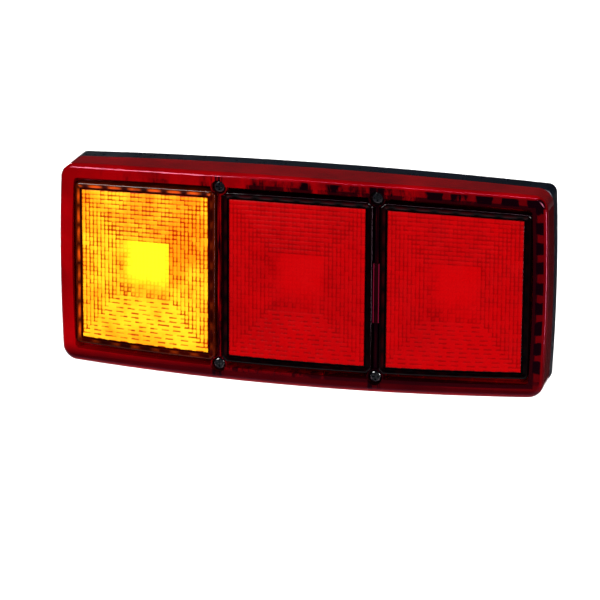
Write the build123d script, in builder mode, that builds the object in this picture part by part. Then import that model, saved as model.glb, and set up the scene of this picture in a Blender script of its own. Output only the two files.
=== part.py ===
from build123d import *
import os

# Three-chamber rear lamp of a trailer: a black tray with bulbs and reflectors, closed by a red lens
# moulding that carries one amber and two red panes and is held by four screws.
# Frame: origin at the middle of the flat mounting face, front towards -Y, +X right, +Z up.
# A "depth" is a distance in front of the mounting face, so a point at depth d has y = -d.

# Outline of the lamp
half_length = 140.6
half_height = 60.5
lamp_depth = 42.6  # mounting face to the middle of the lens front
bow_reach = 130.0  # the bows below are measured this far from the middle
side_bow = 2.5
front_bow = 6.6
end_bow = 1.5
corner_radius = 9.0
least_corner = 2.5

# Lens moulding
skirt_depth = 17.2
rim_wall = 2.2
rim_band = 8.0
edge_round = 3.0
ledge_depth = 26.0
ledge_thick = 2.0
rib_thick = 1.6
rib_gap = 1.6
side_rib_pitch = 14.0
end_rib_pitch = 11.5
divider_x = 45.15
divider_gap = 4.2
divider_bar = 2.0
divider_recess = 3.0

# Panes
pane_thick = 2.2
pane_wall = 2.0
pane_recess = 0.85
pane_round = 0.8
pane_border = 4.2
pane_corner = 2.0
side_groove = 2.94
end_groove = 1.8
window_play = 0.2

# Blank rating pad on the right divider
pad_width = 3.4
pad_height = 34.0
pad_thick = 1.4
pad_edge = 0.6
pad_middle_z = -3.0

# Lens screws, their seals and their inserts
screw_inset = 9.0
screw_radius = 2.0
screw_play = 0.3
head_radius = 3.5
head_height = 2.6
head_round = 1.2
cross_width = 1.0
cross_span = 4.2
cross_deep = 1.4
recess_radius = 4.2
recess_floor = 35.4
post_radius = 4.75
post_recess = 1.6
seal_thick = 0.8
seal_outer = 3.9
insert_radius = 3.0
insert_length = 8.0
insert_play = 0.06
screw_tip_gap = 1.5

# Tray
base_inset = 1.0
tray_corner = 6.0
base_thick = 3.2
base_wall = 2.8
base_edge_round = 1.0
gasket_thick = 1.6
tongue_lap = 3.8
tongue_wall = 1.8
tongue_play = 0.4
boss_radius = 4.25
boss_rise = 0.2
barrier_thick = 2.4
barrier_depth = 25.4
seat_gap = 0.1
touch_play = 0.02

# Reflectors
reflector_wall = 1.2
reflector_back = 5.6
reflector_front = 22.5
mouth_drop = 1.76
mouth_inset = 1.5
flange_width = 3.0
back_inset_x = 9.0
back_top = 32.0
back_bottom = -28.0
reflector_corner = 4.0
seat_wall = 1.4
notch_play = 0.8
notch_top = -21.5

# Bulbs, 25 mm glass on a 15 mm bayonet cap, lying upright in the chambers
bulb_gap = 1.1
glass_radius = 12.4
glass_wall = 0.7
neck_radius = 7.0
filament_z = 3.8
cap_radius = 7.6
cap_bottom = -34.5
cap_top = -19.5
cap_floor = -21.6
cap_lining = 0.15
contact_radius = 3.2
contact_height = 1.2
pin_z = -28.0
pin_radius = 1.0
pin_stand = 1.3
bayonet_turn = 20.0
lead_radius = 0.4
lead_spread = 3.0
coil_radius = 0.6

# Bayonet sockets
sleeve_play = 0.1
sleeve_wall = 0.7
sleeve_top = -22.5
sleeve_lip = 0.8
insulator_thick = 1.5
spring_length = 3.0
spring_wire = 0.6
spring_turns = 2
spring_radius = 2.4
plunger_radius = 1.3
plunger_head = 3.0
plunger_head_thick = 0.7
plunger_tail = 1.2
foot_thick = 0.8
foot_half_width = 5.0
foot_top = -25.0
web_z = -34.0
web_thick = 1.0
rivet_z = -29.5
rivet_radius = 1.2
rivet_head = 2.2
rivet_head_thick = 0.8
rivet_bite = 1.6

# Contact strips and terminal block
strip_thick = 0.8
earth_low = -33.0
earth_high = -26.0
live_width = 3.8
live_tab = 1.8
strip_play = 0.6
block_half_width = 18.0
block_high = -37.5
block_low = -45.0
block_play = 0.9
terminal_pitch = 9.0
terminal_head = 2.2
terminal_head_thick = 1.0
terminal_shank = 1.4
terminal_bite = 4.0
earth_tail_x = -13.5
earth_tail_width = 5.0

# Mounting studs and cable entry
stud_spacing = 152.0
stud_radius = 3.0
stud_length = 22.0
stud_neck_radius = 3.4
stud_play = 0.2
stud_chamfer = 0.8
stud_head_flats = 10.0
stud_head_thick = 2.4
stud_boss_radius = 7.4
stud_boss_height = 1.8
grommet_z = 35.5
grommet_radius = 7.0
grommet_flange = 9.0
grommet_flange_thick = 1.6
grommet_nose = 9.0
grommet_nose_radius = 5.2
cable_radius = 3.5

# Sizes that follow from the ones above
ledge_front = ledge_depth + ledge_thick
shoulder_depth = skirt_depth - gasket_thick
tongue_depth = skirt_depth + tongue_lap
boss_depth = tongue_depth + boss_rise
rib_back_depth = tongue_depth + rib_gap
far_front = 2 * lamp_depth
pane_inset = rim_band + side_groove
screw_z = half_height - screw_inset
mouth_half_height = half_height - pane_inset - pane_border - mouth_drop
bulb_depth = reflector_back + reflector_wall + bulb_gap + glass_radius
pin_reach = cap_radius + pin_stand
outer_low = divider_x + divider_gap / 2
outer_high = half_length - rim_band - end_groove
middle_edge = divider_x - divider_gap / 2
pane_spans = {
    "amber_pane": (-outer_high, -outer_low),
    "red_pane_middle": (-middle_edge, middle_edge),
    "red_pane_right": (outer_low, outer_high),
}
chambers = {
    "left": (-outer_high, -outer_low),
    "middle": (-middle_edge, middle_edge),
    "right": (outer_low, outer_high),
}
screw_places = [(x, z) for x in (-divider_x, divider_x) for z in (-screw_z, screw_z)]
contact_z = cap_bottom - contact_height
plunger_top = contact_z - seat_gap
spring_low = plunger_top - plunger_head_thick - spring_length
insulator_low = spring_low - insulator_thick
sleeve_low = insulator_low - sleeve_lip
live_z = sleeve_low - plunger_tail
notch_low = live_z - strip_thick - strip_play
sleeve_inner = cap_radius + sleeve_play
sleeve_outer = sleeve_inner + sleeve_wall
block_slope = (back_bottom - reflector_wall - block_high) / (mouth_half_height + back_bottom)
wall_over_block = reflector_back + (reflector_front - reflector_back) * block_slope
block_front = min(bulb_depth - sleeve_outer, wall_over_block - terminal_head_thick) - block_play


def side_height(x, inset):
    """Half height of the bowed outline at x, drawn in by inset."""
    return half_height - inset - side_bow * (x / bow_reach) ** 2


def front_at(x, depth):
    """Depth at x of the bowed surface that lies at the given depth in the middle."""
    return depth - front_bow * (x / bow_reach) ** 2


def outline(inset, corner=corner_radius):
    """Outline of the lamp drawn in by inset: bowed sides, slightly bowed ends, round corners."""
    reach = half_length - inset
    x = reach - end_bow
    z = side_height(x, inset)
    top = side_height(0, inset)
    with BuildSketch() as shape:
        with BuildLine():
            ThreePointArc((-x, z), (0, top), (x, z))
            ThreePointArc((x, z), (reach, 0), (x, -z))
            ThreePointArc((x, -z), (0, -top), (-x, -z))
            ThreePointArc((-x, -z), (-reach, 0), (-x, z))
        make_face()
        fillet(shape.vertices(), max(corner - inset, least_corner))
    return shape.sketch


def pane_shape(span, grow):
    """Outline of a pane between two x values, made larger all round by grow."""
    low, high = span[0] - grow, span[1] + grow
    middle = (low + high) / 2
    low_z, middle_z, high_z = (side_height(x, pane_inset - grow) for x in (low, middle, high))
    with BuildSketch() as shape:
        with BuildLine():
            ThreePointArc((low, low_z), (middle, middle_z), (high, high_z))
            Line((high, high_z), (high, -high_z))
            ThreePointArc((high, -high_z), (middle, -middle_z), (low, -low_z))
            Line((low, -low_z), (low, low_z))
        make_face()
        fillet(shape.vertices(), max(pane_corner + grow, pane_corner / 2))
    return shape.sketch


def behind_bow(depth):
    """All the space behind the bowed surface that lies at the given depth in the middle."""
    reach = 1.2 * half_length
    with BuildPart() as space:
        with BuildSketch(Plane.XY):
            with BuildLine():
                ThreePointArc((-reach, -front_at(reach, depth)), (0, -depth), (reach, -front_at(reach, depth)))
                Line((reach, -front_at(reach, depth)), (reach, lamp_depth))
                Line((reach, lamp_depth), (-reach, lamp_depth))
                Line((-reach, lamp_depth), (-reach, -front_at(reach, depth)))
            make_face()
        extrude(amount=1.5 * half_height, both=True)
    return space.part


def save(part, name):
    """Label a finished piece and write it under its own name."""
    part.label = name
    export_step(part, f"parts/{name}.step")


os.makedirs("parts", exist_ok=True)

behind_front = behind_bow(lamp_depth)
behind_band = behind_bow(lamp_depth - rim_wall)
behind_ribs = behind_bow(lamp_depth - rim_wall / 2)
behind_bars = behind_bow(lamp_depth - divider_recess)
behind_posts = behind_bow(lamp_depth - post_recess)
behind_pane = behind_bow(lamp_depth - pane_recess)
behind_pane_inside = behind_bow(lamp_depth - pane_recess - pane_thick)
outer_shape = outline(0)
channel_outer = outline(rim_wall)
channel_inner = outline(rim_band - rim_wall)
well_shape = outline(rim_band)

# ---------------------------------------------------------------- lens moulding
with BuildPart() as rim_channel:
    with BuildSketch(Plane.XZ.offset(skirt_depth)):
        add(channel_outer)
        add(channel_inner, mode=Mode.SUBTRACT)
    extrude(amount=far_front)
    add(behind_band, mode=Mode.INTERSECT)

rib_middle = rim_band / 2
rib_span = rim_band - rim_wall
side_ribs = int((half_length - 2 * corner_radius) / side_rib_pitch)
end_ribs = int((half_height - 2 * corner_radius) / end_rib_pitch)
with BuildPart() as rim_ribs:
    with BuildSketch(Plane.XZ.offset(rib_back_depth)):
        for step in range(-side_ribs, side_ribs + 1):
            x = step * side_rib_pitch
            z = side_height(x, rib_middle)
            with Locations((x, z), (x, -z)):
                Rectangle(rib_thick, rib_span)
        for step in range(-end_ribs, end_ribs + 1):
            x = half_length - rib_middle - end_bow * (step * end_rib_pitch / half_height) ** 2
            with Locations((x, step * end_rib_pitch), (-x, step * end_rib_pitch)):
                Rectangle(rib_span, rib_thick)
    extrude(amount=far_front)
    add(behind_ribs, mode=Mode.INTERSECT)

with BuildPart() as divider_bars:
    with BuildSketch(Plane.XZ.offset(ledge_depth)):
        with Locations((-divider_x, 0), (divider_x, 0)):
            Rectangle(divider_bar, 2 * (half_height - rim_band + rim_wall / 2 - side_bow))
    extrude(amount=far_front)
    add(behind_bars, mode=Mode.INTERSECT)

with BuildPart() as screw_posts:
    with BuildSketch(Plane.XZ.offset(boss_depth + seat_gap)):
        with Locations(*screw_places):
            Circle(post_radius)
    extrude(amount=far_front)
    add(behind_posts, mode=Mode.INTERSECT)

pad_depth = front_at(divider_x, lamp_depth - divider_recess) - pad_thick / 2
with BuildPart() as lens_rim:
    with BuildSketch(Plane.XZ.offset(skirt_depth)):
        add(outer_shape)
    extrude(amount=far_front)
    add(behind_front, mode=Mode.INTERSECT)
    fillet(lens_rim.faces().sort_by(Axis.Y)[0].edges(), edge_round)
    add(rim_channel.part, mode=Mode.SUBTRACT)
    with BuildSketch(Plane.XZ.offset(ledge_front)):
        add(well_shape)
    extrude(amount=far_front, mode=Mode.SUBTRACT)
    with BuildSketch(Plane.XZ.offset(skirt_depth)):
        add(channel_inner)
    extrude(amount=ledge_depth - skirt_depth, mode=Mode.SUBTRACT)
    for span in pane_spans.values():
        window = pane_shape(span, window_play - pane_border)
        with BuildSketch(Plane.XZ.offset(ledge_depth)):
            add(window)
        extrude(amount=ledge_thick, mode=Mode.SUBTRACT)
    add(rim_ribs.part)
    add(divider_bars.part)
    add(screw_posts.part)
    with BuildSketch(Plane.XZ.offset(recess_floor)):
        with Locations(*screw_places):
            Circle(recess_radius)
    extrude(amount=far_front, mode=Mode.SUBTRACT)
    with BuildSketch(Plane.XZ):
        with Locations(*screw_places):
            Circle(screw_radius + screw_play)
    extrude(amount=far_front, mode=Mode.SUBTRACT)
    with BuildSketch(Plane.XZ.offset(pad_depth)):
        with Locations((divider_x, pad_middle_z)):
            Rectangle(pad_width, pad_height + 2 * window_play)
    extrude(amount=far_front, mode=Mode.SUBTRACT)
save(lens_rim.part, "lens_rim")

# ---------------------------------------------------------------- panes
for name, span in pane_spans.items():
    edge = pane_shape(span, 0)
    hollow = pane_shape(span, -pane_wall)
    with BuildPart() as pane_hollow:
        with BuildSketch(Plane.XZ.offset(ledge_front)):
            add(hollow)
        extrude(amount=far_front)
        add(behind_pane_inside, mode=Mode.INTERSECT)
    with BuildPart() as pane:
        with BuildSketch(Plane.XZ.offset(ledge_front)):
            add(edge)
        extrude(amount=far_front)
        add(behind_pane, mode=Mode.INTERSECT)
        fillet(pane.faces().sort_by(Axis.Y)[0].edges(), pane_round)
        add(pane_hollow.part, mode=Mode.SUBTRACT)
        with BuildSketch(Plane.XZ):
            with Locations(*screw_places):
                Circle(post_radius + window_play)
        extrude(amount=far_front, mode=Mode.SUBTRACT)
    save(pane.part, name)

with BuildPart() as rating_pad:
    with BuildSketch(Plane.XZ.offset(pad_depth)):
        with Locations((divider_x, pad_middle_z)):
            Rectangle(pad_width, pad_height)
    extrude(amount=pad_thick)
    with BuildSketch(Plane.XZ.offset(pad_depth + pad_thick - pad_edge)):
        with Locations((divider_x, pad_middle_z)):
            Rectangle(pad_width - 2 * pad_edge, pad_height - 2 * pad_edge)
    extrude(amount=pad_edge, mode=Mode.SUBTRACT)
save(rating_pad.part, "rating_pad")

# ---------------------------------------------------------------- tray
tray_outer = outline(base_inset, tray_corner)
tray_inner = outline(base_inset + base_thick)
tongue_inset = rim_wall + tongue_play
tongue_outer = outline(tongue_inset)
tongue_inner = outline(tongue_inset + tongue_wall)
stud_places = [(-stud_spacing / 2, 0), (stud_spacing / 2, 0)]
strip_reach = (outer_low + outer_high) / 2 + foot_half_width


def chamber_frame(span):
    """Middle x and half width of a chamber's reflector mouth."""
    return (span[0] + span[1]) / 2, (span[1] - span[0]) / 2 - pane_border - mouth_inset


with BuildPart() as base_housing:
    with BuildSketch(Plane.XZ):
        add(tray_outer)
    extrude(amount=shoulder_depth)
    fillet(base_housing.faces().sort_by(Axis.Y)[-1].edges(), base_edge_round)
    with BuildSketch(Plane.XZ.offset(base_wall)):
        add(tray_inner)
    extrude(amount=far_front, mode=Mode.SUBTRACT)
    with BuildSketch(Plane.XZ.offset(base_wall)):
        add(tongue_outer)
        add(tongue_inner, mode=Mode.SUBTRACT)
    extrude(amount=tongue_depth - base_wall)
    with BuildSketch(Plane.XZ.offset(base_wall)):
        with Locations((-divider_x, 0), (divider_x, 0)):
            Rectangle(barrier_thick, 2 * (half_height - tongue_inset - tongue_wall - side_bow))
    extrude(amount=tongue_depth - base_wall)
    with BuildSketch(Plane.XZ.offset(base_wall)):
        with Locations((-divider_x, 0), (divider_x, 0)):
            Rectangle(barrier_thick, 2 * (screw_z - post_radius - seat_gap))
    extrude(amount=barrier_depth - base_wall)
    with BuildSketch(Plane.XZ.offset(base_wall)):
        with Locations(*screw_places):
            Circle(boss_radius)
    extrude(amount=boss_depth - base_wall)
    with BuildSketch(Plane.XZ.offset(base_wall)):
        with Locations(*stud_places):
            Circle(stud_boss_radius)
    extrude(amount=stud_boss_height)
    with BuildSketch(Plane.XZ.offset(base_wall)):
        with Locations(*stud_places):
            RegularPolygon(stud_head_flats / 2 + stud_play, 6, major_radius=False)
    extrude(amount=stud_boss_height, mode=Mode.SUBTRACT)
    with BuildSketch(Plane.XZ):
        with Locations(*stud_places):
            Circle(stud_neck_radius + stud_play)
        with Locations((0, grommet_z)):
            Circle(grommet_radius)
    extrude(amount=base_wall, mode=Mode.SUBTRACT)
    with BuildSketch(Plane.XZ.offset(boss_depth - insert_length)):
        with Locations(*screw_places):
            Circle(insert_radius)
    extrude(amount=insert_length, mode=Mode.SUBTRACT)
    with BuildSketch(Plane.XZ.offset(base_wall)):
        with Locations(*screw_places):
            Circle(screw_radius + screw_play)
    extrude(amount=boss_depth, mode=Mode.SUBTRACT)
    with BuildSketch(Plane.XZ.offset(base_wall)):
        with Locations((0, (earth_low + earth_high) / 2)):
            Rectangle(2 * (strip_reach + strip_play), earth_high - earth_low + 2 * strip_play)
        with Locations((0, live_z - strip_thick + live_width / 2)):
            Rectangle(2 * (strip_reach + strip_play), live_width + 2 * strip_play)
    extrude(amount=strip_thick + strip_play, mode=Mode.SUBTRACT)
    with BuildSketch(Plane.XZ.offset(base_wall - rivet_bite)):
        for span in chambers.values():
            with Locations((sum(span) / 2, rivet_z)):
                Circle(rivet_radius + touch_play)
    extrude(amount=rivet_bite, mode=Mode.SUBTRACT)
save(base_housing.part, "base_housing")

with BuildPart() as chamber_frames:
    with BuildSketch(Plane.XZ.offset(base_wall)):
        for span in chambers.values():
            x, half = chamber_frame(span)
            with Locations((x, 0)):
                Rectangle(2 * (half + flange_width), 2 * (mouth_half_height + flange_width))
                Rectangle(
                    2 * (half + flange_width - seat_wall),
                    2 * (mouth_half_height + flange_width - seat_wall),
                    mode=Mode.SUBTRACT,
                )
    extrude(amount=reflector_front - reflector_wall - base_wall)
    with BuildSketch(Plane.XZ.offset(base_wall)):
        with Locations((0, (earth_low + earth_high) / 2)):
            Rectangle(2 * (strip_reach + strip_play), earth_high - earth_low + 2 * strip_play)
        with Locations((0, live_z - strip_thick + live_width / 2)):
            Rectangle(2 * (strip_reach + strip_play), live_width + 2 * strip_play)
    extrude(amount=strip_thick + strip_play, mode=Mode.SUBTRACT)
save(chamber_frames.part, "chamber_frames")

gasket_outer = outline(base_inset, tray_corner)
gasket_inner = outline(tongue_inset - touch_play)
with BuildPart() as lens_gasket:
    with BuildSketch(Plane.XZ.offset(shoulder_depth)):
        add(gasket_outer)
        add(gasket_inner, mode=Mode.SUBTRACT)
    extrude(amount=gasket_thick - seat_gap)
save(lens_gasket.part, "lens_gasket")

# ---------------------------------------------------------------- reflectors
for side, span in chambers.items():
    x, half = chamber_frame(span)
    back_half = half - back_inset_x
    back_height = back_top - back_bottom
    back_middle = (back_top + back_bottom) / 2
    with BuildPart() as reflector:
        with BuildSketch(Plane.XZ.offset(reflector_back)):
            with Locations((x, back_middle)):
                RectangleRounded(
                    2 * (back_half + reflector_wall), back_height + 2 * reflector_wall, reflector_corner
                )
        with BuildSketch(Plane.XZ.offset(reflector_front)):
            with Locations((x, 0)):
                RectangleRounded(
                    2 * (half + reflector_wall), 2 * (mouth_half_height + reflector_wall), reflector_corner
                )
        loft()
        with BuildSketch(Plane.XZ.offset(reflector_front - reflector_wall)):
            with Locations((x, 0)):
                RectangleRounded(
                    2 * (half + flange_width), 2 * (mouth_half_height + flange_width), pane_corner
                )
        extrude(amount=reflector_wall)
        with BuildSketch(Plane.XZ.offset(reflector_back + reflector_wall)):
            with Locations((x, back_middle)):
                RectangleRounded(2 * back_half, back_height, reflector_corner - reflector_wall)
        with BuildSketch(Plane.XZ.offset(reflector_front)):
            with Locations((x, 0)):
                RectangleRounded(2 * half, 2 * mouth_half_height, reflector_corner - reflector_wall)
        loft(mode=Mode.SUBTRACT)
        with BuildSketch(Plane.XZ):
            with Locations((x, (notch_top + notch_low) / 2)):
                Rectangle(2 * (sleeve_outer + notch_play), notch_top - notch_low)
        extrude(amount=far_front, mode=Mode.SUBTRACT)
    save(reflector.part, f"reflector_{side}")

# ---------------------------------------------------------------- bayonet sockets
foot_depth = base_wall + strip_thick
for side, span in chambers.items():
    x = sum(span) / 2
    with BuildPart() as socket:
        with BuildSketch(Plane.XY.offset(sleeve_low)):
            with Locations((x, -bulb_depth)):
                Circle(sleeve_outer)
        extrude(amount=sleeve_top - sleeve_low)
        with BuildSketch(Plane.XZ.offset(foot_depth)):
            with Locations((x, (foot_top + web_z - web_thick / 2) / 2)):
                Rectangle(2 * foot_half_width, foot_top - web_z + web_thick / 2)
        extrude(amount=foot_thick)
        with BuildSketch(Plane.XZ.offset(foot_depth)):
            with Locations((x, web_z)):
                Rectangle(2 * foot_half_width, web_thick)
        extrude(amount=bulb_depth - foot_depth)
        with BuildSketch(Plane.XY.offset(insulator_low)):
            with Locations((x, -bulb_depth)):
                Circle(sleeve_inner)
        extrude(amount=sleeve_top - insulator_low, mode=Mode.SUBTRACT)
        with BuildSketch(Plane.XY.offset(sleeve_low)):
            with Locations((x, -bulb_depth)):
                Circle(sleeve_inner - sleeve_lip)
        extrude(amount=sleeve_lip, mode=Mode.SUBTRACT)
        slot_half = pin_radius + screw_play
        for turn in (0, bayonet_turn / 2, bayonet_turn):
            with BuildSketch(Plane.XY.offset(pin_z - slot_half)):
                with Locations(Location((x, -bulb_depth), turn)):
                    Rectangle(2 * pin_reach + 2, 2 * slot_half)
            extrude(amount=2 * slot_half, mode=Mode.SUBTRACT)
        with BuildSketch(Plane.XY.offset(pin_z)):
            with Locations(Location((x, -bulb_depth), bayonet_turn)):
                Rectangle(2 * pin_reach + 2, 2 * slot_half)
        extrude(amount=sleeve_top - pin_z, mode=Mode.SUBTRACT)
        with BuildSketch(Plane.XZ.offset(foot_depth)):
            with Locations((x, rivet_z)):
                Circle(rivet_radius + touch_play)
        extrude(amount=foot_thick, mode=Mode.SUBTRACT)
    save(socket.part, f"bulb_socket_{side}")

    with BuildPart() as insulator:
        with BuildSketch(Plane.XY.offset(insulator_low)):
            with Locations((x, -bulb_depth)):
                Circle(sleeve_inner - touch_play)
                Circle(plunger_radius + sleeve_play, mode=Mode.SUBTRACT)
        extrude(amount=insulator_thick)
    save(insulator.part, f"socket_insulator_{side}")

    with BuildPart() as plunger:
        with BuildSketch(Plane.XY.offset(live_z)):
            with Locations((x, -bulb_depth)):
                Circle(plunger_radius)
        extrude(amount=plunger_top - live_z)
        with BuildSketch(Plane.XY.offset(plunger_top - plunger_head_thick)):
            with Locations((x, -bulb_depth)):
                Circle(plunger_head)
        extrude(amount=plunger_head_thick)
    save(plunger.part, f"centre_contact_{side}")

    coil_travel = spring_length - spring_wire - 2 * touch_play
    coil_start = spring_low + spring_wire / 2 + touch_play
    with BuildPart() as spring:
        with BuildLine(Plane(origin=(x, -bulb_depth, coil_start))) as coil:
            Helix(pitch=coil_travel / spring_turns, height=coil_travel, radius=spring_radius)
        with BuildSketch(Plane(origin=coil.line @ 0, z_dir=coil.line % 0)):
            Circle(spring_wire / 2)
        sweep(is_frenet=True)
    save(spring.part, f"contact_spring_{side}")

with BuildPart() as holder_rivets:
    with BuildSketch(Plane.XZ.offset(base_wall - rivet_bite)):
        for span in chambers.values():
            with Locations((sum(span) / 2, rivet_z)):
                Circle(rivet_radius)
    extrude(amount=rivet_bite + strip_thick + foot_thick)
    with BuildSketch(Plane.XZ.offset(foot_depth + foot_thick)):
        for span in chambers.values():
            with Locations((sum(span) / 2, rivet_z)):
                Circle(rivet_head)
    extrude(amount=rivet_head_thick)
save(holder_rivets.part, "holder_rivets")

# ---------------------------------------------------------------- contact strips and terminals
with BuildPart() as earth_strip:
    with BuildSketch(Plane.XZ.offset(base_wall)):
        with Locations((0, (earth_low + earth_high) / 2)):
            Rectangle(2 * strip_reach, earth_high - earth_low)
        with Locations((earth_tail_x, (earth_low + block_high) / 2)):
            Rectangle(earth_tail_width, earth_low - block_high)
        for span in chambers.values():
            with Locations((sum(span) / 2, rivet_z)):
                Circle(rivet_radius + touch_play, mode=Mode.SUBTRACT)
    extrude(amount=strip_thick)
save(earth_strip.part, "earth_strip")

tab_front = bulb_depth + plunger_radius
for side, x in (("left", -strip_reach + foot_half_width), ("right", strip_reach - foot_half_width)):
    outer_end = x + (live_tab if x > 0 else -live_tab)
    inner_end = block_half_width if x > 0 else -block_half_width
    with BuildPart() as live_strip:
        with BuildSketch(Plane.XZ.offset(base_wall)):
            with Locations(((outer_end + inner_end) / 2, live_z - strip_thick + live_width / 2)):
                Rectangle(abs(outer_end - inner_end), live_width)
        extrude(amount=strip_thick)
        with BuildSketch(Plane.XZ.offset(base_wall)):
            with Locations((x, live_z - strip_thick / 2)):
                Rectangle(2 * live_tab, strip_thick)
        extrude(amount=tab_front - base_wall)
    save(live_strip.part, f"live_strip_{side}")

with BuildPart() as live_strip_middle:
    with BuildSketch(Plane.XZ.offset(block_front)):
        with Locations((0, live_z - strip_thick / 2)):
            Rectangle(2 * live_tab, strip_thick)
    extrude(amount=tab_front - block_front)
save(live_strip_middle.part, "live_strip_middle")

terminal_places = [((step - 1.5) * terminal_pitch, (block_high + block_low) / 2) for step in range(4)]
with BuildPart() as terminal_block:
    with BuildSketch(Plane.XZ.offset(base_wall)):
        with Locations((0, (block_high + block_low) / 2)):
            Rectangle(2 * block_half_width, block_high - block_low)
    extrude(amount=block_front - base_wall)
    with BuildSketch(Plane.XZ.offset(block_front - terminal_bite)):
        with Locations(*terminal_places):
            Circle(terminal_shank + touch_play)
    extrude(amount=terminal_bite, mode=Mode.SUBTRACT)
save(terminal_block.part, "terminal_block")

with BuildPart() as terminal_screws:
    with BuildSketch(Plane.XZ.offset(block_front - terminal_bite)):
        with Locations(*terminal_places):
            Circle(terminal_shank)
    extrude(amount=terminal_bite)
    with BuildSketch(Plane.XZ.offset(block_front)):
        with Locations(*terminal_places):
            Circle(terminal_head)
    extrude(amount=terminal_head_thick)
    with BuildSketch(Plane.XZ.offset(block_front + terminal_head_thick / 2)):
        with Locations(*terminal_places):
            Rectangle(2 * terminal_head, terminal_head_thick / 2)
    extrude(amount=terminal_head_thick, mode=Mode.SUBTRACT)
save(terminal_screws.part, "terminal_screws")

# ---------------------------------------------------------------- bulbs
neck_meets_globe = filament_z - (glass_radius**2 - neck_radius**2) ** 0.5
bore_radius = neck_radius - glass_wall
globe_bore = glass_radius - glass_wall
bore_meets_globe = filament_z - (globe_bore**2 - bore_radius**2) ** 0.5
for side, span in chambers.items():
    x = sum(span) / 2
    bulb_plane = Plane(origin=(x, -bulb_depth, 0), x_dir=(1, 0, 0), z_dir=(0, -1, 0))
    bulb_axis = Axis((x, -bulb_depth, 0), (0, 0, 1))
    with BuildPart() as glass:
        with BuildSketch(bulb_plane):
            with BuildLine():
                Line((neck_radius, cap_floor), (neck_radius, neck_meets_globe))
                ThreePointArc(
                    (neck_radius, neck_meets_globe),
                    (glass_radius, filament_z),
                    (0, filament_z + glass_radius),
                )
                Line((0, filament_z + glass_radius), (0, filament_z + globe_bore))
                ThreePointArc(
                    (0, filament_z + globe_bore),
                    (globe_bore, filament_z),
                    (bore_radius, bore_meets_globe),
                )
                Line((bore_radius, bore_meets_globe), (bore_radius, cap_floor))
                Line((bore_radius, cap_floor), (neck_radius, cap_floor))
            make_face()
        revolve(axis=bulb_axis)
    save(glass.part, f"bulb_glass_{side}")

    with BuildPart() as cap:
        with BuildSketch(Plane.XY.offset(cap_bottom)):
            with Locations((x, -bulb_depth)):
                Circle(cap_radius)
        extrude(amount=cap_top - cap_bottom)
        with BuildSketch(Plane.XY.offset(cap_floor)):
            with Locations((x, -bulb_depth)):
                Circle(neck_radius + cap_lining)
        extrude(amount=cap_top - cap_floor, mode=Mode.SUBTRACT)
        with BuildSketch(Plane.XY.offset(contact_z)):
            with Locations((x, -bulb_depth)):
                Circle(contact_radius)
        extrude(amount=contact_height)
        with BuildSketch(Plane.YZ.offset(x - pin_reach)):
            with Locations((-bulb_depth, pin_z)):
                Circle(pin_radius)
        extrude(amount=2 * pin_reach)
    save(cap.part, f"bulb_cap_{side}")

    with BuildPart() as filament:
        with BuildSketch(Plane.XY.offset(cap_floor)):
            with Locations((x - lead_spread, -bulb_depth), (x + lead_spread, -bulb_depth)):
                Circle(lead_radius)
        extrude(amount=filament_z - cap_floor)
        with BuildSketch(Plane.YZ.offset(x - lead_spread)):
            with Locations((-bulb_depth, filament_z)):
                Circle(coil_radius)
        extrude(amount=2 * lead_spread)
    save(filament.part, f"bulb_filament_{side}")

# ---------------------------------------------------------------- lens screws, seals, inserts
seal_front = recess_floor + seal_thick
head_back = seal_front + touch_play
corner_names = ("lower_left", "upper_left", "lower_right", "upper_right")
for corner, place in zip(corner_names, screw_places):
    with BuildPart() as screw:
        with BuildSketch(Plane.XZ.offset(head_back)):
            with Locations(place):
                Circle(head_radius)
        extrude(amount=head_height)
        fillet(screw.faces().sort_by(Axis.Y)[0].edges(), head_round)
        with BuildSketch(Plane.XZ.offset(boss_depth - insert_length - screw_tip_gap)):
            with Locations(place):
                Circle(screw_radius)
        extrude(amount=head_back - boss_depth + insert_length + screw_tip_gap)
        with BuildSketch(Plane.XZ.offset(head_back + head_height - cross_deep)):
            with Locations(place):
                Rectangle(cross_span, cross_width)
                Rectangle(cross_width, cross_span)
        extrude(amount=cross_deep, mode=Mode.SUBTRACT)
    save(screw.part, f"lens_screw_{corner}")

with BuildPart() as screw_seals:
    with BuildSketch(Plane.XZ.offset(recess_floor)):
        with Locations(*screw_places):
            Circle(seal_outer)
            Circle(screw_radius + screw_play, mode=Mode.SUBTRACT)
    extrude(amount=seal_thick)
save(screw_seals.part, "screw_seals")

with BuildPart() as screw_inserts:
    with BuildSketch(Plane.XZ.offset(boss_depth - insert_length)):
        with Locations(*screw_places):
            Circle(insert_radius - touch_play)
            Circle(screw_radius + insert_play, mode=Mode.SUBTRACT)
    extrude(amount=insert_length)
save(screw_inserts.part, "screw_inserts")

# ---------------------------------------------------------------- mounting studs and cable entry
with BuildPart() as mounting_studs:
    with BuildSketch(Plane.XZ.offset(-stud_length)):
        with Locations(*stud_places):
            Circle(stud_radius)
    extrude(amount=stud_length)
    chamfer(mounting_studs.faces().sort_by(Axis.Y)[-2:].edges(), stud_chamfer)
    with BuildSketch(Plane.XZ):
        with Locations(*stud_places):
            Circle(stud_neck_radius)
    extrude(amount=base_wall)
    with BuildSketch(Plane.XZ.offset(base_wall)):
        with Locations(*stud_places):
            RegularPolygon(stud_head_flats / 2, 6, major_radius=False)
    extrude(amount=stud_head_thick)
save(mounting_studs.part, "mounting_studs")

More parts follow.
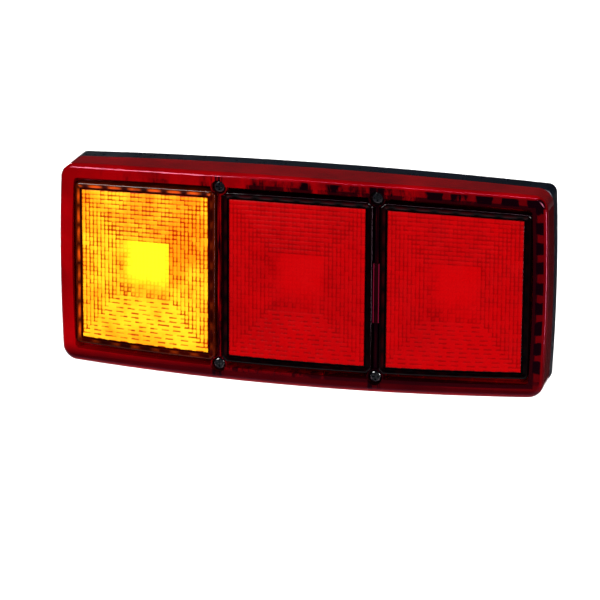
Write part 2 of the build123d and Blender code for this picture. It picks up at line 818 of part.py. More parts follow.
with BuildPart() as cable_grommet:
    with BuildSketch(Plane.XZ.offset(base_wall)):
        with Locations((0, grommet_z)):
            Circle(grommet_flange)
    extrude(amount=grommet_flange_thick)
    with BuildSketch(Plane.XZ):
        with Locations((0, grommet_z)):
            Circle(grommet_radius - touch_play)
    extrude(amount=base_wall)
    with BuildSketch(Plane.XZ):
        with Locations((0, grommet_z)):
            Circle(grommet_radius - touch_play)
    with BuildSketch(Plane.XZ.offset(-grommet_nose)):
        with Locations((0, grommet_z)):
            Circle(grommet_nose_radius)
    loft()
    with BuildSketch(Plane.XZ.offset(-grommet_nose)):
        with Locations((0, grommet_z)):
            Circle(cable_radius)
    extrude(amount=grommet_nose + base_wall + grommet_flange_thick, mode=Mode.SUBTRACT)
save(cable_grommet.part, "cable_grommet")
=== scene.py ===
"""Looks of the three-chamber trailer lamp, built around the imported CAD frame. Metres throughout."""

import math

import bpy
import numpy as np
from mathutils import Matrix, Vector


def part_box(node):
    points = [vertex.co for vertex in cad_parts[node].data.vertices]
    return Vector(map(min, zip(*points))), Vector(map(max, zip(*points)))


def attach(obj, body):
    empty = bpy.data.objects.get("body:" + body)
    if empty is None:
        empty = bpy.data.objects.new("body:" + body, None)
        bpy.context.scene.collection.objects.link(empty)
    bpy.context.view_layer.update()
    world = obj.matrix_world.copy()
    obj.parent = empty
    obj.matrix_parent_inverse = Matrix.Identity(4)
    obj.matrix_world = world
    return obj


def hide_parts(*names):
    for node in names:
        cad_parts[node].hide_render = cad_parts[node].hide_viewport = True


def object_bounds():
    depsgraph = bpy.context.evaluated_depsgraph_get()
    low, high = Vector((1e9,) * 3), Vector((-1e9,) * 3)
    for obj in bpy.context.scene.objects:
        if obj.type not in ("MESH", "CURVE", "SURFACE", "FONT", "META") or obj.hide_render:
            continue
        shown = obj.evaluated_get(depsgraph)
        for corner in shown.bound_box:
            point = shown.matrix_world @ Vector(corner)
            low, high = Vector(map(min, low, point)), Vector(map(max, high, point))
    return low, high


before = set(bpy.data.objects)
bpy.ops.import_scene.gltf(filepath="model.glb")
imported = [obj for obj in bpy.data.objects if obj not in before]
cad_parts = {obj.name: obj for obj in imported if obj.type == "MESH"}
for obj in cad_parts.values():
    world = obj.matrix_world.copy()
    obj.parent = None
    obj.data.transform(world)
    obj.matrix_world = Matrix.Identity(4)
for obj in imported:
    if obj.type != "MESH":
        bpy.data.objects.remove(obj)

cad_low, cad_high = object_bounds()

# Shape of the lens front, which the panes follow
HALF_LENGTH = 0.1406
HALF_HEIGHT = 0.0605
SIDE_BOW = 0.0025
END_BOW = 0.0015
FRONT_BOW = 0.0066
BOW_REACH = 0.130
PANE_BORDER = 0.0042
PANE_WALL = 0.0020
PANE_THICK = 0.0022
SCREW_X = 0.04515
SCREW_Z = 0.0515
NOTCH = 0.00495

# Ribs in the hollow band round the lens, seen through the red, the hollow cells between them given painted
# shade: where a cell fades out and is full
BAND_MIDDLE = 0.0046
SIDE_RIB_PITCH = 0.014
END_RIB_PITCH = 0.0115
CELL_HEIGHT_FADE = (0.0031, 0.0020)
CELL_WIDTH_FADE = (0.46, 0.30)
CELL_WOBBLE = 0.42

# Parts of the red moulding that get painted shade, each from where it starts to where it is full
FRONT_FACE = (0.0325, 0.0345)
BEHIND_WALL = (0.0012, 0.0024)
INNER_STRIP = (0.0044, 0.0060)
DIVIDER_HALF_WIDTH = (0.0036, 0.0052)
BOTTOM_BAND = (-0.0475, -0.0545)
RIGHT_END = (0.1365, 0.1390)

# How fast its painted shade, in streaks and down the dividers, darkens towards the right end, for each
# metre
STREAK_DRIFT = 1.9
DIVIDER_STREAK_DRIFT = 1.1

# Optics of a pane
FLUTE_X = 0.0023
FLUTE_Z = 0.0026
CELL_STEPS = (0.0, 0.25, 0.5, 0.75)
CENTRE_SHARE_X = 0.39
CENTRE_SHARE_Z = 0.38
FLUTE_RISE = 0.00022
CROSS_RISE = 0.00010
CENTRE_RISE = 0.00008
OPTIC_SINK = 0.00045
MOAT_DEPTH = 0.0010
SCALLOP_PITCH = 0.0118
SCALLOP_RISE = 0.00025
DASH_PERIOD = 3.3
DASH_DRIFT = 0.62
DASH_SHARE = 0.62
GAP_DEPTH = 0.12
TONE_GRAIN = 0.26
GRAIN_SEED = 7

# Border and skirt of a pane
# Painted shade on the border where the tray shows behind it, black painted shade in the moat, and painted
# light in the arcs
BORDER_TONE = 0.35
MOAT_SHADE = 0.0
ARCS = None
CORNER_RADIUS = 0.0004
CORNER_GROWTH = 0.5
INNER_ROUND = 0.0004
SHARP_ANGLE = 38

# Stage
FLOOR_DROP = 0.35

# Ends of the names of repeated nodes
SIDES = ("left", "middle", "right")
CORNERS = ("lower_left", "upper_left", "lower_right", "upper_right")


# ------------------------------------------------------------------ camera, lights, floor
def make_camera():
    """The view of a long lens from the upper right of the lamp's front."""
    azimuth, elevation, roll = (math.radians(a) for a in (14.40, 16.5, 0.37))
    distance, aside, above = 2.0, -0.0083, -0.02073
    back = Vector((
        math.sin(azimuth) * math.cos(elevation),
        -math.cos(azimuth) * math.cos(elevation),
        math.sin(elevation),
    ))
    level = Vector((math.cos(azimuth), math.sin(azimuth), 0.0))
    upright = back.cross(level)
    right = level * math.cos(roll) + upright * math.sin(roll)
    up = upright * math.cos(roll) - level * math.sin(roll)
    data = bpy.data.cameras.new("camera")
    data.sensor_width = 36.0
    data.lens = 211.7
    data.clip_end = 50.0
    camera = bpy.data.objects.new("camera", data)
    camera.matrix_world = Matrix.Translation(right * aside + up * above + back * distance) @ Matrix(
        (right, up, back)
    ).transposed().to_4x4()
    bpy.context.collection.objects.link(camera)
    bpy.context.scene.camera = camera


def area_light(name, place, target, size, power, color=(1, 1, 1), spread=180):
    """A soft rectangular studio light aimed at a point."""
    data = bpy.data.lights.new(name, "AREA")
    data.shape = "RECTANGLE"
    data.size, data.size_y = size
    data.energy = power
    data.color = color
    data.spread = math.radians(spread)
    light = bpy.data.objects.new(name, data)
    light.location = place
    light.rotation_euler = (Vector(target) - Vector(place)).to_track_quat("-Z", "Y").to_euler()
    bpy.context.collection.objects.link(light)
    return light


def stage_sheet(name, extent, height, grey):
    """A level sheet of matt paper under the lamp."""
    x0, y0, x1, y1 = extent
    corners = [(x0, y0, height), (x1, y0, height), (x1, y1, height), (x0, y1, height)]
    mesh = bpy.data.meshes.new(name)
    mesh.from_pydata(corners, [], [(0, 1, 2, 3)])
    sheet = bpy.data.objects.new(name, mesh)
    bpy.context.collection.objects.link(sheet)
    paint = bpy.data.materials.new(name)
    paint.use_nodes = True
    shader = paint.node_tree.nodes["Principled BSDF"]
    shader.inputs["Base Color"].default_value = (grey, grey, grey, 1)
    shader.inputs["Roughness"].default_value = 0.9
    mesh.materials.append(paint)


def make_studio():
    """Dim surroundings, soft frontal lights, and a pale floor under the held lamp lit by its own panel.

    A dark card on the floor, out of the camera's view, keeps the glare off the lamp's right end.
    """
    low = cad_low.z - FLOOR_DROP
    world = bpy.data.worlds.new("studio")
    world.use_nodes = True
    sky = world.node_tree.nodes["Background"]
    sky.inputs["Color"].default_value = (0.75, 0.86, 1.0, 1.0)
    sky.inputs["Strength"].default_value = 0.035
    bpy.context.scene.world = world
    area_light("key", (-1.15, -1.75, 0.85), (0, 0, 0), (0.9, 0.6), 5.2, spread=55)
    area_light("fill", (1.3, -1.6, 0.45), (0, 0, 0), (0.7, 0.7), 2.1, spread=38)
    area_light("top", (0.15, -0.75, 1.15), (0, 0, 0), (1.3, 0.08), 2.3, (1.0, 0.62, 0.84), spread=80)
    area_light("edge", (1.3, -0.33, -0.3), (0.14, 0, 0), (0.12, 0.5), 0.4, (1.0, 0.6, 0.8), spread=40)
    area_light("back", (-1.2, 1.3, 0.35), (0, 0, 0), (0.6, 0.4), 3.0, spread=60)
    area_light("floor_panel", (-0.72, 1.8, 0.45), (-0.72, 1.8, low), (1.68, 3.1), 32, spread=40)
    stage_sheet("floor", (-8.0, -8.0, 8.0, 8.0), low, 0.93)
    stage_sheet("dark_card", (0.22, 0.75, 0.9, 2.0), low + 0.001, 0.03)


# ------------------------------------------------------------------ material toolkit
class Finish:
    """A Principled material with its sockets set on the shader, and helpers for its textures."""

    def __init__(self, name, **sockets):
        self.material = bpy.data.materials.new(name)
        self.material.use_nodes = True
        self.nodes = self.material.node_tree.nodes
        self.links = self.material.node_tree.links
        self.shader = self.nodes["Principled BSDF"]
        for socket, value in sockets.items():
            self.shader.inputs[socket.replace("_", " ").title().replace("Ior", "IOR")].default_value = value
        self.coordinates = self.nodes.new("ShaderNodeTexCoord").outputs["Object"]

    def feed(self, value, socket):
        """Put a link or a plain value into a socket."""
        if isinstance(value, bpy.types.NodeSocket):
            self.links.new(value, socket)
        else:
            socket.default_value = value

    def axes(self):
        """The object-space coordinates, one output for each axis."""
        node = self.nodes.new("ShaderNodeSeparateXYZ")
        self.links.new(self.coordinates, node.inputs[0])
        return node.outputs

    def noise(self, scale, detail=3.0, roughness=0.55, stretch=None):
        """Noise in object space, optionally stretched along an axis."""
        node = self.nodes.new("ShaderNodeTexNoise")
        node.inputs["Scale"].default_value = scale
        node.inputs["Detail"].default_value = detail
        node.inputs["Roughness"].default_value = roughness
        source = self.coordinates
        if stretch:
            mapping = self.nodes.new("ShaderNodeMapping")
            mapping.inputs["Scale"].default_value = stretch
            self.links.new(source, mapping.inputs["Vector"])
            source = mapping.outputs["Vector"]
        self.links.new(source, node.inputs["Vector"])
        return node.outputs["Fac"]

    def attribute(self, name):
        """A per-vertex value that the mesh code wrote."""
        node = self.nodes.new("ShaderNodeAttribute")
        node.attribute_name = name
        return node.outputs["Fac"]

    def ramp(self, factor, stops, smooth=False):
        """Colours or greys along a factor."""
        node = self.nodes.new("ShaderNodeValToRGB")
        if smooth:
            node.color_ramp.interpolation = "EASE"
        elements = node.color_ramp.elements
        while len(elements) < len(stops):
            elements.new(0.5)
        for element, (place, color) in zip(elements, stops):
            element.position = place
            element.color = (*color, 1) if isinstance(color, tuple) else (color, color, color, 1)
        self.links.new(factor, node.inputs["Fac"])
        return node.outputs["Color"]

    def mix(self, factor, first, second, blend="MIX"):
        """Mix of two colours by a factor, each a socket or a plain value."""
        node = self.nodes.new("ShaderNodeMix")
        node.data_type = "RGBA"
        node.blend_type = blend
        self.feed(factor, node.inputs[0])
        self.feed(first, node.inputs[6])
        self.feed(second, node.inputs[7])
        return node.outputs[2]

    def math(self, operation, first, second=0.0):
        """Arithmetic on two values, each a socket or a plain number."""
        node = self.nodes.new("ShaderNodeMath")
        node.operation = operation
        self.feed(first, node.inputs[0])
        self.feed(second, node.inputs[1])
        return node.outputs[0]

    def product(self, *values):
        """All the values multiplied together."""
        total = values[0]
        for value in values[1:]:
            total = self.math("MULTIPLY", total, value)
        return total

    def greatest(self, *values):
        """The largest of the values."""
        top = values[0]
        for value in values[1:]:
            top = self.math("MAXIMUM", top, value)
        return top

    def step(self, value, low, high):
        """Nothing at low, rising to one at high; low may lie above high."""
        node = self.nodes.new("ShaderNodeMapRange")
        self.links.new(value, node.inputs["Value"])
        node.inputs["From Min"].default_value = low
        node.inputs["From Max"].default_value = high
        return node.outputs["Result"]

    def band(self, axis, middle, inner, outer):
        """One within inner of the two planes at plus and minus middle, falling to nothing at outer."""
        away = self.math("SUBTRACT", self.math("ABSOLUTE", self.axes()[axis]), middle)
        return self.step(self.math("ABSOLUTE", away), outer, inner)

    def colour(self, socket):
        """Let a socket give the base colour."""
        self.links.new(socket, self.shader.inputs["Base Color"])

    def roughness(self, factor, low, high):
        """Let the roughness vary between two values."""
        self.links.new(self.ramp(factor, [(0.3, low), (0.7, high)]), self.shader.inputs["Roughness"])

    def bump(self, height, strength, distance):
        """A relief in the surface normal; distance is the height of the relief."""
        node = self.nodes.new("ShaderNodeBump")
        node.inputs["Strength"].default_value = strength
        node.inputs["Distance"].default_value = distance
        self.links.new(height, node.inputs["Height"])
        self.links.new(node.outputs["Normal"], self.shader.inputs["Normal"])


def black_plastic():
    """Moulded black plastic with a fine spark-eroded grain."""
    finish = Finish("black_plastic", specular_ior_level=0.14)
    stops = [(0.35, (0.001, 0.002, 0.005)), (0.7, (0.004, 0.007, 0.013))]
    finish.colour(finish.ramp(finish.noise(45, 4), stops))
    finish.roughness(finish.noise(160, 5), 0.24, 0.4)
    finish.bump(finish.noise(2600, 2), 0.25, 0.00004)
    return finish.material


def rubber():
    """Matt black rubber."""
    finish = Finish("black_rubber", specular_ior_level=0.2)
    stops = [(0.3, (0.003, 0.003, 0.004)), (0.75, (0.01, 0.01, 0.011))]
    finish.colour(finish.ramp(finish.noise(120, 4), stops))
    finish.roughness(finish.noise(300, 4), 0.6, 0.82)
    finish.bump(finish.noise(900, 4), 0.3, 0.00005)
    return finish.material


def grey_foam_painted_highlight():
    """Cut edge of a grey foam seal, pale in patches as a painted highlight along the joint of base and
    lens.
    """
    finish = Finish("grey_foam_painted_highlight", specular_ior_level=0.2)
    stops = [(0.4, (0.02, 0.022, 0.026)), (0.62, (0.36, 0.37, 0.40))]
    finish.colour(finish.ramp(finish.noise(90, 3), stops))
    finish.roughness(finish.noise(300, 4), 0.6, 0.85)
    finish.bump(finish.noise(1500, 3), 0.3, 0.00005)
    return finish.material


def rib_cells(finish):
    """How much of a place is a hollow cell, which gets painted shade, its way in from the outer wall, and
    its coordinates.
    """
    place = finish.axes()
    x, z = finish.math("ABSOLUTE", place["X"]), finish.math("ABSOLUTE", place["Z"])
    wobble = finish.product(finish.math("SUBTRACT", finish.noise(130, 3, 0.6), 0.5), CELL_WOBBLE)

    def across(value, half, bow, along, reach):
        """Where the band lies, and the way in from the bowed edge that the value is measured towards."""
        drop = finish.product(finish.math("POWER", finish.math("DIVIDE", along, reach), 2.0), bow)
        inset = finish.math("SUBTRACT", finish.math("SUBTRACT", half, drop), value)
        away = finish.math("ABSOLUTE", finish.math("SUBTRACT", inset, BAND_MIDDLE))
        return finish.step(away, *CELL_HEIGHT_FADE), inset

    def between(value, pitch):
        """Where the ribs leave a gap, a little uneven."""
        turns = finish.math("FRACT", finish.math("ADD", finish.math("DIVIDE", value, pitch), wobble))
        return finish.step(finish.math("ABSOLUTE", finish.math("SUBTRACT", turns, 0.5)), *CELL_WIDTH_FADE)

    level, side_inset = across(z, HALF_HEIGHT, SIDE_BOW, x, BOW_REACH)
    upright, end_inset = across(x, HALF_LENGTH, END_BOW, z, HALF_HEIGHT)
    side = finish.product(level, between(x, SIDE_RIB_PITCH))
    end = finish.product(upright, between(z, END_RIB_PITCH))
    return finish.greatest(side, end), finish.math("MINIMUM", side_inset, end_inset), place


def red_rim_plastic():
    """Clear red moulding with painted shade: black in its hollow cells, in a strip by the panes and along
    the dividers, darker in patches towards the right end, on the bottom band and on the right end; bright
    where light gets in.
    """
    finish = Finish(
        "red_rim",
        transmission_weight=0.3,
        ior=1.49,
        specular_ior_level=0.28,
        specular_tint=(1.0, 0.28, 0.46, 1),
    )
    cells, inset, place = rib_cells(finish)
    body = finish.ramp(finish.noise(28, 3), [(0.3, (0.17, 0.0, 0.001)), (0.7, (0.37, 0.0003, 0.002))])
    front = finish.step(finish.product(place["Y"], -1.0), *FRONT_FACE)
    wall = finish.step(inset, *BEHIND_WALL)
    bottom = finish.step(place["Z"], *BOTTOM_BAND)
    # Painted shade in streaks that darken towards the right end
    streaks = finish.noise(85, 4, 0.75, stretch=(1.0, 0.5, 0.35))
    streaks = finish.math("ADD", streaks, finish.product(place["X"], STREAK_DRIFT))
    # Painted shade: hollow cells in patches, where the black behind shows through, and a dark strip next to
    # the panes
    hollow_shade = finish.product(cells, finish.step(streaks, 0.40, 0.60), finish.step(bottom, 1.5, 0.0))
    strip = finish.product(finish.step(inset, *INNER_STRIP), finish.step(streaks, 0.36, 0.54), 0.95)
    hollow_shade = finish.product(finish.greatest(hollow_shade, strip), front)
    # Painted shade down the dividers, broken by a few upright red streaks
    divider_streaks = finish.noise(800, 3, 0.6, stretch=(1.0, 1.0, 0.03))
    divider_streaks = finish.math("ADD", divider_streaks, finish.product(place["X"], DIVIDER_STREAK_DRIFT))
    divider_shade = finish.band("X", SCREW_X, *DIVIDER_HALF_WIDTH)
    divider_shade = finish.product(divider_shade, front, wall, finish.step(divider_streaks, 0.36, 0.48))
    # Painted shade on the rest of the front, the bottom band and the right end
    shade = finish.product(finish.step(streaks, 0.30, 0.66), 0.68)
    shade = finish.product(finish.greatest(shade, finish.product(bottom, 0.86)), front, wall)
    flank_shade = finish.product(finish.step(place["X"], *RIGHT_END), 0.62)
    dark = finish.greatest(hollow_shade, divider_shade, shade, flank_shade)
    finish.colour(finish.mix(dark, body, (0.003, 0.0, 0.001, 1)))
    finish.roughness(finish.noise(70, 4), 0.05, 0.12)
    finish.bump(finish.noise(55, 2, stretch=(1.0, 1.0, 0.6)), 0.22, 0.0004)
    return finish.material


def optic_plastic(name, groove, crest, centre, patch):
    """Clear coloured plastic with painted light: its flutes dark at their grooves and pale on their crests,
    and a painted glow in the plain centre.
    """
    finish = Finish(name, transmission_weight=0.05, ior=1.49, specular_ior_level=0.015)
    flutes = finish.ramp(finish.attribute("rise"), [(0.0, groove), (0.75, crest)], smooth=True)
    blotches = finish.ramp(finish.noise(42, 3), [(0.36, patch), (0.60, (1.0, 1.0, 1.0))])
    tinted = finish.mix(1.0, flutes, blotches, "MULTIPLY")
    # Painted glow of the plain centre, mixed in by the middle attribute
    finish.colour(finish.mix(finish.attribute("middle"), tinted, (*centre, 1)))
    finish.roughness(finish.noise(90, 3), 0.28, 0.42)
    return finish.material


def border_plastic(name, dark, light):
    """Smooth border of a pane, with painted shade where the tray shows behind it and painted light in its
    arcs.
    """
    finish = Finish(name, transmission_weight=0.3, ior=1.49, specular_ior_level=0.08)
    arcs = finish.ramp(finish.attribute("rise"), [(0.25, dark), (0.95, light)], smooth=True)
    blotches = finish.ramp(finish.noise(140, 4, stretch=(1.0, 1.0, 0.7)), [(0.38, 0.45), (0.55, 1.0)])
    finish.colour(finish.mix(1.0, arcs, blotches, "MULTIPLY"))
    finish.roughness(finish.noise(90, 3), 0.05, 0.14)
    return finish.material


def pad_plastic():
    """Nearly black red plastic, with a painted highlight along its raised edges."""
    finish = Finish("pad_red", specular_ior_level=0.08)
    low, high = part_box("rating_pad")
    edge_highlight = finish.greatest(*(finish.band("X", edge, 0.0003, 0.0006) for edge in (low.x, high.x)))
    body = finish.ramp(finish.noise(60, 3), [(0.3, (0.003, 0.0, 0.0005)), (0.7, (0.012, 0.0, 0.001))])
    finish.colour(finish.mix(edge_highlight, body, (0.14, 0.004, 0.02, 1)))
    finish.roughness(finish.noise(120, 3), 0.15, 0.3)
    return finish.material


def black_lacquer():
    """Glossy black of the screw heads."""
    finish = Finish("black_screw", specular_ior_level=0.9, coat_weight=1.0, coat_roughness=0.03)
    stops = [(0.3, (0.001, 0.001, 0.002)), (0.7, (0.006, 0.006, 0.008))]
    finish.colour(finish.ramp(finish.noise(200, 3), stops))
    finish.roughness(finish.noise(260, 4), 0.06, 0.16)
    finish.bump(finish.noise(900, 2), 0.2, 0.00003)
    return finish.material


def metal(name, dark, light, low, high, grain=220, stretch=None, relief=0.00002):
    """Bare or plated metal with uneven polish."""
    finish = Finish(name, metallic=1.0)
    finish.colour(finish.ramp(finish.noise(grain / 3, 4, stretch=stretch), [(0.3, dark), (0.7, light)]))
    finish.roughness(finish.noise(grain, 4, stretch=stretch), low, high)
    finish.bump(finish.noise(grain * 4, 3, stretch=stretch), 0.2, relief)
    return finish.material


def laminate():
    """Brown layered board of the insulating parts."""
    finish = Finish("brown_laminate", specular_ior_level=0.4)
    stops = [(0.3, (0.09, 0.035, 0.012)), (0.7, (0.2, 0.09, 0.035))]
    finish.colour(finish.ramp(finish.noise(500, 4, stretch=(1, 1, 5)), stops))
    finish.roughness(finish.noise(250, 3), 0.4, 0.6)
    finish.bump(finish.noise(1500, 2), 0.2, 0.00003)
    return finish.material


def bulb_glass():
    """Thin clear glass, slightly uneven."""
    finish = Finish("bulb_glass", transmission_weight=1.0, ior=1.5)
    finish.colour(finish.ramp(finish.noise(60, 2), [(0.3, (0.94, 0.97, 0.98)), (0.7, (1.0, 1.0, 1.0))]))
    finish.roughness(finish.noise(90, 3), 0.0, 0.03)
    return finish.material


# ------------------------------------------------------------------ panes with optics
def lamp_side(x):
    """How much the lamp's half height has dropped at x."""
    return SIDE_BOW * (x / BOW_REACH) ** 2


def grid_lines(half, pitch):
    """Positions of the optic grid across a pane, the cell of each, and where in its cell it lies."""
    count = max(1, round(2 * half / pitch))
    width = 2 * half / count
    places = [(-half + width * (cell + step), cell, step) for cell in range(count) for step in CELL_STEPS]
    return places + [(half, count - 1, 1.0)], count


def dome(step):
    """Rise of a flute across its cell, from groove to crest to groove."""
    return 1.0 - (2.0 * step - 1.0) ** 2


def dash(cell_x, cell_z):
    """How deep the groove below a pillow of the lower zone is: short dashes that drift from row to row."""
    phase = ((cell_x + DASH_DRIFT * cell_z) / DASH_PERIOD) % 1.0
    return 1.0 if phase < DASH_SHARE else GAP_DEPTH


def glow(u, v):
    """Share of the painted glow of the plain centre at a place in the centre square, fullest towards its
    upper right.
    """
    u, v = u / CENTRE_SHARE_X, v / CENTRE_SHARE_Z
    return smooth(u, -1.0, -0.35) * smooth(v, -0.85, 0.0) * smooth(max(u, v), 1.1, 0.85)


def shadow(u, v):
    """Painted shadow of the bulb holder behind the lower left corner of the centre square."""
    away = ((u / CENTRE_SHARE_X + 0.80) / 0.30) ** 2 + ((v / CENTRE_SHARE_Z + 0.78) / 0.22) ** 2
    return 0.30 * math.exp(-away)


def smooth(value, low, high):
    """Nothing below low, one above high, with an even run between."""
    share = max(0.0, min(1.0, (value - low) / (high - low)))
    return share * share * (3 - 2 * share)


def pillow(u, v, cell_x, cell_z, step_x, step_z):
    """Rise of the optics at a place in a cell, its painted light from groove to crest, and its share of the
    painted centre glow.
    """
    across, along = dome(step_x), dome(step_z)
    if abs(u) < CENTRE_SHARE_X and abs(v) < CENTRE_SHARE_Z:
        tone = 0.30 + 0.55 * across * along - shadow(u, v)
        return CENTRE_RISE * across * along, tone, glow(u, v) * (0.82 + 0.18 * across * along)
    beside = (abs(u) - CENTRE_SHARE_X) / (1 - CENTRE_SHARE_X)
    above = (abs(v) - CENTRE_SHARE_Z) / (1 - CENTRE_SHARE_Z)
    lean = beside - above
    if v > 0 or lean > 0.05:
        upright, level = smooth(lean, -0.30, 0.10), 1 - smooth(lean, -0.10, 0.34)
        tone = 1 - upright * (1 - across) - level * (1 - along)
        lift = FLUTE_RISE * tone + CROSS_RISE * across * along
        return lift, 0.12 + 0.88 * tone * (0.40 + 0.60 * (along if lean > 0 else across)), 0.0
    tone = 1 - dash(cell_x, cell_z) * (1 - along)
    return FLUTE_RISE * tone + CROSS_RISE * across * along, tone, 0.0


def cell_share(cell, count):
    """Place of a cell's middle, from minus one to one across the pane."""
    return (cell + 0.5) / count * 2 - 1


class Pane:
    """Shape of a pane: fluted pillow optics in a smooth border, with a skirt down to the lens moulding."""

    def __init__(self, node):
        low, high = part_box(node)
        nearest_x = min(abs(low.x), abs(high.x)) if low.x * high.x > 0 else 0.0
        self.middle_x = (low.x + high.x) / 2
        self.edge_z = high.z + lamp_side(nearest_x)
        self.half_x = (high.x - low.x) / 2 - PANE_BORDER
        self.half_z = self.edge_z - PANE_BORDER
        self.front = -low.y + FRONT_BOW * (nearest_x / BOW_REACH) ** 2
        self.foot = -high.y
        self.columns, self.count_x = grid_lines(self.half_x, FLUTE_X)
        self.rows, self.count_z = grid_lines(self.half_z, FLUTE_Z)
        self.verts, self.rise, self.middle, self.faces = [], [], [], []

    def place(self, x, z, depth, absolute=False):
        """A point of the pane, its depth measured behind the bowed front or from the mounting face."""
        world_x = self.middle_x + x
        height = z * (1 - lamp_side(world_x) / self.edge_z)
        y = depth if absolute else self.front - FRONT_BOW * (world_x / BOW_REACH) ** 2 - depth
        return (world_x, -y, height)

    def add_optics(self):
        """The grid of pillows, row by row from the bottom."""
        grain = np.random.default_rng(GRAIN_SEED).uniform(-1.0, 1.0, (self.count_z, self.count_x))
        for z, cell_z, step_z in self.rows:
            v = cell_share(cell_z, self.count_z)
            for x, cell_x, step_x in self.columns:
                u = cell_share(cell_x, self.count_x)
                # Painted light of each point, with random grain, and its share of the painted centre glow
                lift, tone, centre_glow = pillow(u, v, cell_x, cell_z, step_x, step_z)
                self.verts.append(self.place(x, z, OPTIC_SINK - max(0.0, lift)))
                self.rise.append(tone + TONE_GRAIN * grain[cell_z, cell_x])
                self.middle.append(centre_glow)
        wide = len(self.columns)
        for row in range(len(self.rows) - 1):
            for corner in range(row * wide, row * wide + wide - 1):
                self.faces.append((corner, corner + 1, corner + wide + 1, corner + wide))

    def grid_edge(self):
        """The points round the edge of the optics, from the lower left along the bottom and round."""
        wide, tall = len(self.columns), len(self.rows)
        bottom = list(range(wide - 1))
        right = [row * wide + wide - 1 for row in range(tall - 1)]
        top = [(tall - 1) * wide + column for column in range(wide - 1, 0, -1)]
        left = [row * wide for row in range(tall - 1, 0, -1)]
        return bottom + right + top + left

    def scallop(self, x, z):
        """Arcs along the border, painted light that also sets their sink: nothing between them, one at
        their crowns, faint away from the top.
        """
        level = abs(z) / self.half_z > abs(x) / self.half_x
        arc = abs(math.sin(math.pi * (x if level else z) / SCALLOP_PITCH))
        if level:
            return arc if z > 0 else 0.45 * arc
        return 0.30 + 0.50 * arc if x < 0 else 0.40 * arc

    def rounded(self, x, z, outset):
        """A point of the grid's edge moved outwards by outset, onto a loop with round corners."""
        reach_x, reach_z = self.half_x + outset, self.half_z + outset
        radius = CORNER_RADIUS + CORNER_GROWTH * outset
        x, z = x * reach_x / self.half_x, z * reach_z / self.half_z
        over_x, over_z = abs(x) - (reach_x - radius), abs(z) - (reach_z - radius)
        if over_x > 0 and over_z > 0:
            size = math.hypot(over_x, over_z)
            x = math.copysign(reach_x - radius + radius * over_x / size, x)
            z = math.copysign(reach_z - radius + radius * over_z / size, z)
        return x, z

    def ring(self, outset, depth, tone=BORDER_TONE, absolute=False):
        """A loop round the optics that keeps clear of the screws; its painted light or shade has one tone
        or follows the arcs.
        """
        wide = len(self.columns)
        keep = NOTCH + PANE_BORDER - outset
        start = len(self.verts)
        for i in self.grid_edge():
            x, z = self.rounded(self.columns[i % wide][0], self.rows[i // wide][0], outset)
            arc = self.scallop(x, z)
            sink = SCALLOP_RISE * (1 - arc) if tone is ARCS else 0.0
            world_x, y, height = self.place(x, z, depth + sink, absolute)
            screw_x, screw_z = math.copysign(SCREW_X, world_x), math.copysign(SCREW_Z, height)
            away = Vector((world_x - screw_x, height - screw_z))
            if away.length < keep:
                away = away.normalized() * keep
                world_x, height = screw_x + away.x, screw_z + away.y
            self.verts.append((world_x, y, height))
            self.rise.append(arc if tone is ARCS else tone)
            self.middle.append(0.0)
        return list(range(start, len(self.verts)))

    def join(self, first, second):
        """A strip of faces from one ring out to the next."""
        total = len(first)
        for i in range(total):
            after = (i + 1) % total
            self.faces.append((first[i], second[i], second[after], first[after]))

    def add_border(self):
        """The moat, the border with its arcs, and the skirt and its inside; gives back the last ring."""
        edge, inside = PANE_BORDER, PANE_BORDER - PANE_WALL
        rings = [self.grid_edge()]
        for outset, depth, tone in (
            (0.0003, MOAT_DEPTH, MOAT_SHADE),
            (0.0009, MOAT_DEPTH, MOAT_SHADE),
            (0.0012, 0.0003, BORDER_TONE),
            (0.0016, 0.0001, ARCS),
            (0.0024, 0.0, ARCS),
            (edge - 0.0010, 0.0, BORDER_TONE),
            (edge - 0.0004, 0.00012, BORDER_TONE),
            (edge - 0.0001, 0.00045, BORDER_TONE),
            (edge, 0.0010, BORDER_TONE),
        ):
            rings.append(self.ring(outset, depth, tone))
        rings.append(self.ring(edge, self.foot, absolute=True))
        rings.append(self.ring(inside, self.foot, absolute=True))
        rings.append(self.ring(inside, PANE_THICK + INNER_ROUND))
        rings.append(self.ring(inside - INNER_ROUND, PANE_THICK))
        for first, second in zip(rings, rings[1:]):
            self.join(first, second)
        return rings[-1]

    def add_back(self, inner):
        """Faces inside the last ring that close the back, as upright strips from edge to edge."""
        wide, tall = len(self.columns), len(self.rows)
        bottom, right = inner[:wide], inner[wide - 1 : wide + tall - 1]
        top = inner[wide + tall - 2 : 2 * wide + tall - 2][::-1]
        left = inner[2 * wide + tall - 3 :] + [inner[0]]
        self.faces.append(tuple(left[::-1] + [top[1], bottom[1]]))
        for c in range(1, wide - 2):
            self.faces.append((bottom[c], top[c], top[c + 1], bottom[c + 1]))
        self.faces.append(tuple([bottom[-2], top[-2]] + right[::-1]))

    def to_mesh(self, name):
        """The shape as a mesh, with the painted light tones and the painted centre glow as attributes for
        the materials.
        """
        mesh = bpy.data.meshes.new(name)
        mesh.from_pydata(self.verts, [], self.faces)
        mesh.validate()
        for label, values in (("rise", self.rise), ("middle", self.middle)):
            mesh.attributes.new(label, "FLOAT", "POINT").data.foreach_set("value", np.array(values, "f"))
        mesh.shade_smooth()
        mesh.set_sharp_from_angle(angle=math.radians(SHARP_ANGLE))
        return mesh


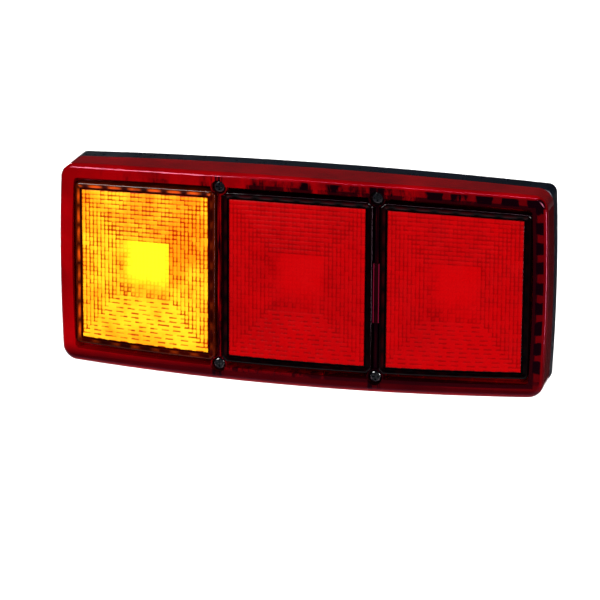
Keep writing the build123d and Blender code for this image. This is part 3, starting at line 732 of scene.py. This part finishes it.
def build_pane(name, node, optic, border):
    """A pane that rides on the lens unit in place of its plain CAD node."""
    shape = Pane(node)
    shape.add_optics()
    optic_faces = len(shape.faces)
    inner = shape.add_border()
    border_faces = len(shape.faces)
    shape.add_back(inner)
    mesh = shape.to_mesh(name)
    mesh.materials.append(optic)
    mesh.materials.append(border)
    for face in mesh.polygons[optic_faces:border_faces]:
        face.material_index = 1
    pane = bpy.data.objects.new(name, mesh)
    bpy.context.collection.objects.link(pane)
    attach(pane, "lens_unit")
    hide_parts(node)


# ------------------------------------------------------------------ carried-over CAD nodes
def dress(material, *names):
    """Give CAD nodes a material in every slot."""
    for name in names:
        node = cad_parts[name]
        if not node.material_slots:
            node.data.materials.append(material)
        for slot in node.material_slots:
            slot.material = material


def each(stem, ends=SIDES):
    """The names of a repeated node, one for each end given."""
    return [f"{stem}_{end}" for end in ends]


make_camera()
make_studio()
bpy.context.scene.view_settings.view_transform = "Standard"

RED_RIM = red_rim_plastic()
AMBER = optic_plastic(
    "amber_optic",
    groove=(0.34, 0.02, 0.0),
    crest=(0.93, 0.53, 0.012),
    centre=(1.0, 0.85, 0.012),
    patch=(0.95, 0.48, 0.3),
)
AMBER_EDGE = border_plastic("amber_edge", (0.03, 0.0005, 0.0), (0.75, 0.08, 0.003))
RED = optic_plastic(
    "red_optic",
    groove=(0.20, 0.0, 0.0005),
    crest=(0.33, 0.0002, 0.001),
    centre=(0.35, 0.0002, 0.001),
    patch=(0.86, 1.0, 1.0),
)
RED_EDGE = border_plastic("red_edge", (0.001, 0.0, 0.0002), (0.02, 0.0, 0.001))
ZINC = metal("zinc_plate", (0.42, 0.43, 0.45), (0.68, 0.69, 0.7), 0.22, 0.4)
BRASS = metal("brass", (0.62, 0.4, 0.13), (0.86, 0.62, 0.26), 0.2, 0.4)
MIRROR = metal("mirror_coat", (0.8, 0.8, 0.82), (0.93, 0.93, 0.94), 0.08, 0.2, 60)
NICKEL = metal("nickel_cap", (0.5, 0.48, 0.44), (0.74, 0.72, 0.68), 0.2, 0.36)
TUNGSTEN = metal("tungsten", (0.2, 0.2, 0.21), (0.4, 0.4, 0.42), 0.3, 0.5)

dress(black_plastic(), "base_housing", "chamber_frames")
dress(rubber(), "cable_grommet", "screw_seals")
dress(grey_foam_painted_highlight(), "lens_gasket")
dress(RED_RIM, "lens_rim")
dress(pad_plastic(), "rating_pad")
dress(MIRROR, *each("reflector"))
dress(ZINC, "mounting_studs", "terminal_screws", *each("bulb_socket"), *each("contact_spring"))
dress(BRASS, "earth_strip", "holder_rivets", "screw_inserts", *each("live_strip"), *each("centre_contact"))
dress(laminate(), "terminal_block", *each("socket_insulator"))
dress(black_lacquer(), *each("lens_screw", CORNERS))
dress(bulb_glass(), *each("bulb_glass"))
dress(NICKEL, *each("bulb_cap"))
dress(TUNGSTEN, *each("bulb_filament"))

build_pane("amber_optics", "amber_pane", AMBER, AMBER_EDGE)
build_pane("red_optics_middle", "red_pane_middle", RED, RED_EDGE)
build_pane("red_optics_right", "red_pane_right", RED, RED_EDGE)
